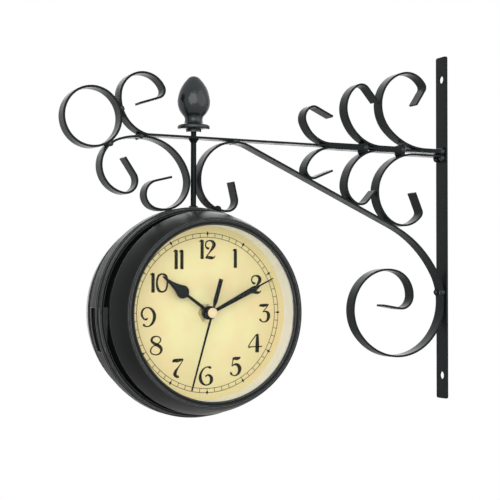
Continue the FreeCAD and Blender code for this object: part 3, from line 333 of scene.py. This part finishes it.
def turned_metal(name, dark, light, roughness, line_mm):
    """Bare or plated metal with faint tool lines round its axis."""
    finish, tree, shader, place = new_finish(name, **{"Metallic": 1.0})
    stretch = add(tree, "ShaderNodeMapping", {"Scale": TOOL_LINE_STRETCH}, {"Vector": place})
    lines = add(tree, "ShaderNodeTexNoise",
                {"Scale": per_size(line_mm), "Detail": SOFT_DETAIL}, {"Vector": stretch.outputs[0]})
    colour = add(tree, "ShaderNodeMix", {6: linear(dark), 7: linear(light)},
                 {0: lines.outputs["Fac"]}, data_type="RGBA")
    sheen = add(tree, "ShaderNodeMapRange",
                {"From Min": NOISE_LOW, "From Max": NOISE_HIGH,
                 "To Min": roughness[0], "To Max": roughness[1]}, {"Value": lines.outputs["Fac"]})
    tree.links.new(colour.outputs[2], shader.inputs["Base Color"])
    tree.links.new(sheen.outputs[0], shader.inputs["Roughness"])
    return finish


def zinc_plated_steel():
    # Yellow-passivated zinc on a small nut: pale straw with a broken sheen
    return turned_metal("zinc_plated_steel", "#B0A680", "#C8BE95",
                        roughness=(0.24, 0.38), line_mm=0.5)


def turned_brass():
    # Free-cutting brass from the lathe: warm yellow with fine rings
    return turned_metal("turned_brass", "#A8864A", "#C9A663",
                        roughness=(0.22, 0.36), line_mm=0.3)


def nickel_plated_strip():
    # Nickel on spring strip: pale, slightly warm mirror with rolling lines
    return turned_metal("nickel_plated_strip", "#B3AFA6", "#CECAC0",
                        roughness=(0.18, 0.3), line_mm=0.4)


# Every solid of the part gets the finish of its material slot

finish_by_slot = {
    "black_iron": satin_enamel_on_strip_iron(),
    "case_black": stoved_paint_on_spun_steel(),
    "zinc_steel": zinc_plated_steel(),
    "lens_glass": float_glass_lens(),
    "white_plastic": moulded_white_styrene(),
    "dial_print": printed_card_dial(),
    "hand_black": lacquer_on_stamped_hand(),
    "cap_cream": moulded_cream_cap(),
    "movement_plastic": moulded_black_abs(),
    "washer_rubber": rubber_washer(),
    "nut_brass": turned_brass(),
    "cell_jacket": printed_cell_jacket(),
    "contact_steel": nickel_plated_strip(),
}
finish_by_node = {"finial": gloss_enamel_on_cast_bud()}

for subpart in frame["record"]["subparts"]:
    solid = frame["nodes"][subpart["node"]]
    finish = finish_by_node.get(subpart["node"], finish_by_slot[subpart["material_slot"]])
    solid.data.materials.clear()
    solid.data.materials.append(finish)


# Dial print: numerals, minute track and hour marks, as thin films of ink on each card

NUMERAL_HEIGHT = 11.8 * MM
NUMERAL_RADIUS = 39.0 * MM
DIGIT_GAP_SHARE = 0.06
PEN_WEIGHT_SHARE = 1.28
# The print sets some numerals off their circle: right and up, in millimetres
NUMERAL_NUDGES = {1: (-.8, 0), 2: (0, -2.0), 3: (.8, -.6), 4: (-.8, 0), 6: (-.8, 0), 9: (0, -2.3),
                  10: (1.7, -1.2), 11: (0, -1.2)}
TRACK_OUTER = 49.2 * MM
TRACK_INNER = 46.6 * MM
TRACK_LINE = 0.34 * MM
TICK_WIDTH = 0.36 * MM
MARK_RADIUS = 49.0 * MM
MARK_HALF_LENGTH = 1.5 * MM
MARK_HALF_WIDTH = 0.8 * MM
INK_LIFT = 0.02 * MM
INK_FILM = 0.03 * MM
INK_MERGE = INK_FILM / 20
CURVE_STEPS = 6
RING_STEPS = 180
MINUTES = 60
HOURS = 12

# Each digit is drawn by pen strokes: x, y and pen width, as shares of the numeral's height
PEN_STROKES = {
    "0": [[(.33, .97, .07), (.12, .85, .09), (.04, .5, .09), (.12, .15, .12), (.33, .04, .07),
           (.54, .15, .08), (.62, .5, .08), (.54, .85, .11), (.33, .97, .07)]],
    "1": [[(.0, .9, .03), (.08, .95, .08), (.16, .99, .06)],
          [(.16, 1.0, .12), (.155, .8, .145), (.155, .4, .145), (.155, .0, .15)]],
    "2": [[(.27, .6, .03), (.2, .56, .1), (.09, .62, .07), (.05, .74, .06), (.1, .9, .06),
           (.27, .97, .06), (.46, .92, .12), (.54, .77, .16), (.47, .6, .13), (.3, .38, .06),
           (.13, .16, .05), (.05, .05, .05)],
          [(.05, .05, .05), (.2, .09, .12), (.38, .07, .13), (.53, .09, .07), (.62, .19, .02)]],
    "3": [[(.02, .86, .03), (.08, .92, .1), (.3, .92, .13), (.56, .97, .05)],
          [(.56, .97, .05), (.4, .76, .04), (.22, .58, .03)],
          [(.22, .56, .03), (.36, .6, .06), (.52, .52, .13), (.57, .34, .16), (.5, .14, .11),
           (.34, .04, .06), (.17, .06, .05), (.07, .16, .1), (.1, .2, .06)]],
    "4": [[(.52, .98, .05), (.38, .84, .05), (.2, .62, .045), (.06, .4, .05), (.03, .3, .07)],
          [(.02, .29, .07), (.2, .32, .05), (.5, .33, .05), (.84, .33, .05)],
          [(.6, 1.0, .07), (.56, .9, .12), (.55, .5, .17), (.54, .02, .17)]],
    "5": [[(.16, .95, .05), (.3, .94, .13), (.48, .94, .13), (.62, .99, .05)],
          [(.2, .95, .07), (.16, .75, .045), (.12, .54, .05)],
          [(.12, .53, .04), (.26, .62, .07), (.44, .6, .13), (.57, .42, .17), (.52, .18, .12),
           (.36, .05, .06), (.18, .05, .05), (.06, .16, .1), (.1, .21, .06)]],
    "6": [[(.68, .9, .08), (.6, .95, .1), (.44, .97, .05), (.24, .87, .07), (.1, .66, .1),
           (.06, .4, .14), (.16, .16, .12), (.36, .04, .06), (.56, .07, .07), (.69, .22, .14),
           (.69, .42, .14), (.55, .55, .09), (.4, .53, .05), (.38, .45, .07)]],
    "7": [[(.03, .8, .03), (.08, .9, .12), (.3, .91, .15), (.6, .97, .06)],
          [(.6, .97, .06), (.5, .78, .04), (.33, .55, .06), (.18, .34, .13), (.15, .18, .15),
           (.27, .06, .09), (.36, .1, .12)]],
    "8": [[(.34, .97, .05), (.16, .9, .09), (.1, .74, .1), (.24, .6, .12), (.45, .5, .14),
           (.6, .38, .13), (.64, .24, .11), (.54, .08, .07), (.36, .02, .05), (.14, .07, .05),
           (.04, .22, .06), (.12, .4, .05), (.34, .54, .04), (.54, .66, .05), (.6, .8, .06),
           (.5, .93, .05), (.34, .97, .05)]],
    "9": [[(.36, .45, .05), (.3, .38, .08), (.17, .4, .07), (.06, .55, .09), (.04, .72, .09),
           (.14, .91, .07), (.34, .98, .05), (.54, .92, .09), (.7, .72, .13), (.74, .47, .14),
           (.64, .2, .11), (.46, .04, .06), (.28, .02, .05), (.16, .09, .1), (.2, .13, .05)]],
}


def smooth_stroke(points):
    """A stroke's points with a smooth curve run through them."""
    knots = [Vector(point) for point in points]
    knots = [knots[0] * 2 - knots[1]] + knots + [knots[-1] * 2 - knots[-2]]
    smooth = []
    for before, start, end, after in zip(knots, knots[1:], knots[2:], knots[3:]):
        for step in range(CURVE_STEPS):
            t = step / CURVE_STEPS
            smooth.append((start * 2 + (end - before) * t
                           + (before * 2 - start * 5 + end * 4 - after) * t ** 2
                           + (start * 3 - before - end * 3 + after) * t ** 3) / 2)
    return smooth + [knots[-2]]


def pen_outline(points):
    """Left and right edges of a pen stroke."""
    smooth = smooth_stroke(points)
    left, right = [], []
    for number, point in enumerate(smooth):
        ahead = smooth[min(number + 1, len(smooth) - 1)]
        behind = smooth[max(number - 1, 0)]
        way = (ahead - behind).to_2d().normalized()
        across = Vector((-way.y, way.x)) * point.z * PEN_WEIGHT_SHARE / 2
        left.append(point.to_2d() + across)
        right.append(point.to_2d() - across)
    return left, right


def digit_width(digit):
    edges = [point.x for stroke in PEN_STROKES[digit] for side in pen_outline(stroke) for point in side]
    return min(edges), max(edges)


def numeral_bands(hour):
    """Pen bands of one upright numeral, centred on its place on the dial."""
    digits = str(hour)
    spans = [digit_width(digit) for digit in digits]
    total = sum(high - low for low, high in spans) + DIGIT_GAP_SHARE * (len(digits) - 1)
    angle = math.tau * hour / HOURS
    centre = Vector((math.sin(angle), math.cos(angle))) * NUMERAL_RADIUS
    centre += Vector(NUMERAL_NUDGES.get(hour, (0, 0))) * MM
    pen = -total / 2
    bands = []
    for digit, (low, high) in zip(digits, spans):
        shift = Vector((pen - low, -0.5))
        for stroke in PEN_STROKES[digit]:
            bands.append([[centre + (point + shift) * NUMERAL_HEIGHT for point in side]
                          for side in pen_outline(stroke)])
        pen += high - low + DIGIT_GAP_SHARE
    return bands


def ring_band(radius, width):
    """A closed ring as an inner and an outer edge."""
    turns = [math.tau * step / RING_STEPS for step in range(RING_STEPS + 1)]
    return [[Vector((math.sin(turn), math.cos(turn))) * (radius + side * width / 2) for turn in turns]
            for side in (-1, 1)]


def radial_band(angle, inner, outer, half_width, pointed=False):
    """A short mark along a radius; a pointed one is a diamond."""
    out = Vector((math.sin(angle), math.cos(angle)))
    across = Vector((out.y, -out.x)) * half_width
    if not pointed:
        return [[out * inner + shift, out * outer + shift] for shift in (-across, across)]
    middle = out * (inner + outer) / 2
    return [[out * inner, middle + shift, out * outer] for shift in (-across, across)]


ink = screen_ink()


def ink_film(name, side, bands):
    """Thin closed films of ink on one dial; bands are pairs of edges in the dial's plane."""
    facing = -1 if side == "front" else 1
    mesh = bmesh.new()
    for left, right in bands:
        rows = []
        for level in (INK_LIFT, INK_LIFT + INK_FILM):
            depth = facing * (DIAL_FRONT + level)
            rows.append([[mesh.verts.new((CLOCK_X - facing * point.x, depth, CLOCK_Z + point.y))
                          for point in edge] for edge in (left, right)])
        (low_left, low_right), (top_left, top_right) = rows
        for here, there in zip(range(len(left) - 1), range(1, len(left))):
            mesh.faces.new((top_left[here], top_left[there], top_right[there], top_right[here]))
            mesh.faces.new((low_right[here], low_right[there], low_left[there], low_left[here]))
            mesh.faces.new((low_left[here], low_left[there], top_left[there], top_left[here]))
            mesh.faces.new((top_right[here], top_right[there], low_right[there], low_right[here]))
        for end in (0, -1):
            mesh.faces.new((low_left[end], top_left[end], top_right[end], low_right[end]))
    bmesh.ops.remove_doubles(mesh, verts=mesh.verts, dist=INK_MERGE)
    bmesh.ops.recalc_face_normals(mesh, faces=mesh.faces)
    film = new_piece(name, mesh, ink)
    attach(film, f"{side}_unit")


for side in ("front", "rear"):
    ink_film(f"{side}_numerals", side,
             [band for hour in range(1, HOURS + 1) for band in numeral_bands(hour)])
    ink_film(f"{side}_minute_track", side,
             [ring_band(TRACK_OUTER, TRACK_LINE), ring_band(TRACK_INNER, TRACK_LINE)]
             + [radial_band(math.tau * minute / MINUTES, TRACK_INNER, TRACK_OUTER, TICK_WIDTH / 2)
                for minute in range(MINUTES)])
    ink_film(f"{side}_hour_marks", side,
             [radial_band(math.tau * hour / HOURS, MARK_RADIUS - MARK_HALF_LENGTH,
                          MARK_RADIUS + MARK_HALF_LENGTH, MARK_HALF_WIDTH, pointed=True)
              for hour in range(HOURS)])


# Weld lumps: the rough ends of each weld run, at both edges of the strips

LUMP_RADIUS = 2.4 * MM
SMALL_LUMP_SHARE = 0.75
LUMP_FLAT_SHARE = 0.8
LUMP_ROUGH_SHARE = 0.22
LUMP_SINK = 0.8 * MM
LUMP_BUMPS_MM = 1.6
LUMP_SUBDIVISIONS = 2
SHELL_MERGE = 0.03 * MM
GATHER_WITHIN = 5.0 * MM


def weld_places():
    """Middle of each weld run: its loose shells, gathered where they lie close together."""
    beads = frame["nodes"]["weld_beads"]
    mesh = bmesh.new()
    mesh.from_mesh(beads.data)
    bmesh.ops.remove_doubles(mesh, verts=mesh.verts, dist=SHELL_MERGE)
    known = set()
    middles = []
    for first in mesh.verts:
        if first in known:
            continue
        shell = [first]
        known.add(first)
        for vert in shell:
            beyond = {edge.other_vert(vert) for edge in vert.link_edges} - known
            shell += beyond
            known |= beyond
        points = [beads.matrix_world @ vert.co for vert in shell]
        middles.append(Vector([(min(axis) + max(axis)) / 2 for axis in zip(*points)]))
    mesh.free()
    places = []
    # from the highest shell down, so that every run gathers the same ones
    for middle in sorted(middles, key=lambda point: point.z, reverse=True):
        for group in places:
            if (group[0] - middle).length < GATHER_WITHIN:
                group.append(middle)
                break
        else:
            places.append([middle])
    return [sum(group, Vector()) / len(group) for group in places]


def weld_lumps():
    """Two lumps on each weld run but the rod's, larger from the leaves to the wall."""
    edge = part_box("arm_bar")[1][1] - LUMP_SINK
    leaf_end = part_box("upper_leaf_1")[0][0]
    # a lump keeps clear of the wall by its own reach
    nearest_wall = -LUMP_RADIUS * (1 + LUMP_ROUGH_SHARE)
    mesh = bmesh.new()
    for place in weld_places():
        if abs(place.x - CLOCK_X) < LUMP_RADIUS:
            continue
        size = LUMP_RADIUS if place.x > leaf_end else LUMP_RADIUS * SMALL_LUMP_SHARE
        for side in (-edge, edge):
            middle = Vector((min(place.x, nearest_wall), side, place.z))
            ball = bmesh.ops.create_icosphere(mesh, subdivisions=LUMP_SUBDIVISIONS, radius=size)
            for vert in ball["verts"]:
                bump = noise.noise((vert.co + middle) * per_size(LUMP_BUMPS_MM))
                vert.co *= 1 + LUMP_ROUGH_SHARE * bump
                vert.co.y *= LUMP_FLAT_SHARE
                vert.co += middle
    lumps = new_piece("weld_lumps", mesh, enamel_over_weld())
    lumps.data.shade_smooth()
    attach(lumps, "bracket")


weld_lumps()


# Stage: a pale floor under the clock, a white surround and soft lamps

FLOOR_LEVEL = -0.5
FLOOR_RADIUS = 1.2
FLOOR_SEGMENTS = 96
SURROUND_FILL = 0.4
LAMPS = {
    # name: place and size in metres, power in watts
    "key_lamp": ((-0.9, -1.4, 0.35), 1.8, 20.5),
    "fill_lamp": ((0.8, -1.4, 0.3), 2.2, 12.0),
    "rear_lamp": ((0.3, 1.5, 0.4), 2.0, 16.0),
}


def pale_floor():
    # Matt painted board: off-white with a barely seen drift, so that only the shadow shows
    board = moulded("pale_floor_board", "#ECECEA", "#F4F4F2", roughness=0.9,
                    grain_mm=6.0, grain_depth_mm=0.02, IOR=1.4)
    mesh = bmesh.new()
    bmesh.ops.create_circle(mesh, cap_ends=True, segments=FLOOR_SEGMENTS, radius=FLOOR_RADIUS,
                            matrix=Matrix.Translation((CLOCK_X, 0, FLOOR_LEVEL)))
    new_piece("floor", mesh, board)


def white_surround():
    """White to the camera, to mirrors and through glass; a dimmer fill for everything else."""
    world = bpy.data.worlds.new("white_surround")
    bpy.context.scene.world = world
    world.use_nodes = True
    tree = world.node_tree
    tree.nodes.clear()
    path = add(tree, "ShaderNodeLightPath")
    seen = add(tree, "ShaderNodeMath", links={0: path.outputs["Is Camera Ray"],
                                              1: path.outputs["Is Glossy Ray"]}, operation="MAXIMUM")
    shown = add(tree, "ShaderNodeMath", links={0: seen.outputs[0],
                                               1: path.outputs["Is Transmission Ray"]},
                operation="MAXIMUM")
    strength = add(tree, "ShaderNodeMapRange", {"To Min": SURROUND_FILL},
                   {"Value": shown.outputs[0]})
    light = add(tree, "ShaderNodeBackground", {"Color": linear("#FFFFFF")},
                {"Strength": strength.outputs[0]})
    add(tree, "ShaderNodeOutputWorld", links={"Surface": light.outputs[0]})


def soft_lamps():
    target = Vector((CLOCK_X, 0, 0))
    for name, (place, size, power) in LAMPS.items():
        lamp = bpy.data.lights.new(name, "AREA")
        lamp.shape = "DISK"
        lamp.size = size
        lamp.energy = power
        holder = bpy.data.objects.new(name, lamp)
        holder.location = place
        holder.rotation_euler = (target - Vector(place)).to_track_quat("-Z", "Y").to_euler()
        bpy.context.scene.collection.objects.link(holder)


# Camera: at the photograph's viewing angle, by its yaw, pitch and roll in degrees

CAMERA_YAW = 26.37
CAMERA_PITCH = 1.72
CAMERA_ROLL = 0.13
CAMERA_TARGET = Vector((-0.15157, 0.0, -0.01847))
CAMERA_DISTANCE = 0.7957
CAMERA_LENS = 88.28
SENSOR_WIDTH = 36.0


def photo_camera():
    yaw, pitch, roll = (math.radians(angle) for angle in (CAMERA_YAW, CAMERA_PITCH, CAMERA_ROLL))
    ahead = Vector((math.sin(yaw) * math.cos(pitch), math.cos(yaw) * math.cos(pitch), math.sin(pitch)))
    right = Vector((math.cos(yaw), -math.sin(yaw), 0))
    up = right.cross(ahead)
    right, up = (right * math.cos(roll) + up * math.sin(roll),
                 up * math.cos(roll) - right * math.sin(roll))
    turn = Matrix((right, up, -ahead)).transposed().to_4x4()
    lens = bpy.data.cameras.new("photo_camera")
    lens.lens = CAMERA_LENS
    lens.sensor_width = SENSOR_WIDTH
    camera = bpy.data.objects.new("photo_camera", lens)
    camera.matrix_world = Matrix.Translation(CAMERA_TARGET - ahead * CAMERA_DISTANCE) @ turn
    bpy.context.scene.collection.objects.link(camera)
    bpy.context.scene.camera = camera


pale_floor()
white_surround()
soft_lamps()
photo_camera()
bpy.context.scene.view_settings.view_transform = "Standard"
